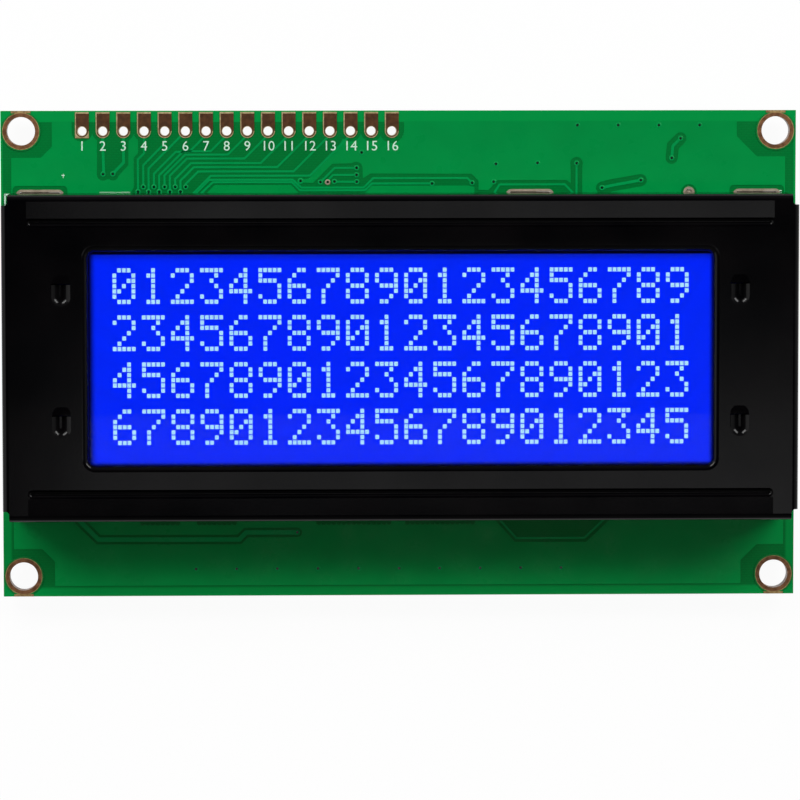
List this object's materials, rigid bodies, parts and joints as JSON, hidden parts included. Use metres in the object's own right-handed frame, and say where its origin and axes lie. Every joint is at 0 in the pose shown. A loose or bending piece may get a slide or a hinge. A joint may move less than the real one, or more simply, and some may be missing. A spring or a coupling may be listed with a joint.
{
  "type": "character display module",
  "caption": "Bare character display module: a green circuit board that carries a blue liquid crystal cell and its backlight under a black steel bezel.",
  "frame": {"origin": "centre of the four mounting holes, on the rear face of the circuit board's laminate", "axes": "+Z out of the display's face, +Y towards the board's edge with the header row, +X along the lines of text"},
  "size_m": [0.098, 0.06, 0.0126],
  "materials": {
    "green_laminate": "gloss",
    "bare_copper_gold": "satin",
    "slot_tinning": "satin",
    "striped_rubber": "matte",
    "white_plastic": "matte",
    "white_film": "satin",
    "clear_acrylic": "gloss",
    "lamp_laminate": "satin",
    "lamp_resin": "gloss",
    "tinned_wire": "satin",
    "solder": "gloss",
    "rear_film": "gloss",
    "cell_glass": "gloss",
    "seal_epoxy": "matte",
    "liquid_crystal_layer": "gloss",
    "cured_resin": "gloss",
    "blue_film": "gloss",
    "black_coated_steel": "satin",
    "black_resin": "satin",
    "resistor_body": "satin",
    "capacitor_body": "matte"
  },
  "bodies": {
    "root": {"circuit_board": "green_laminate", "mounting_lands": "bare_copper_gold", "header_pads": "bare_copper_gold", "slot_lands": "slot_tinning", "strip_contacts": "bare_copper_gold", "upper_contact_strip": "striped_rubber", "lower_contact_strip": "striped_rubber", "backlight_housing": "white_plastic", "reflector_sheet": "white_film", "light_guide": "clear_acrylic", "diffuser_sheet": "white_film", "lamp_board": "lamp_laminate", "lamps": "lamp_resin", "backlight_legs": "tinned_wire", "leg_solder": "solder", "rear_polarizer": "rear_film", "rear_glass": "cell_glass", "cell_seal": "seal_epoxy", "liquid_crystal": "liquid_crystal_layer", "fill_plug": "cured_resin", "front_glass": "cell_glass", "front_polarizer": "blue_film", "bezel": "black_coated_steel", "controller_chip": "black_resin", "left_driver_chip": "black_resin", "right_driver_chip": "black_resin", "chip_resistors": "resistor_body", "chip_capacitors": "capacitor_body", "chip_ends": "solder"}
  },
  "joints": []
}
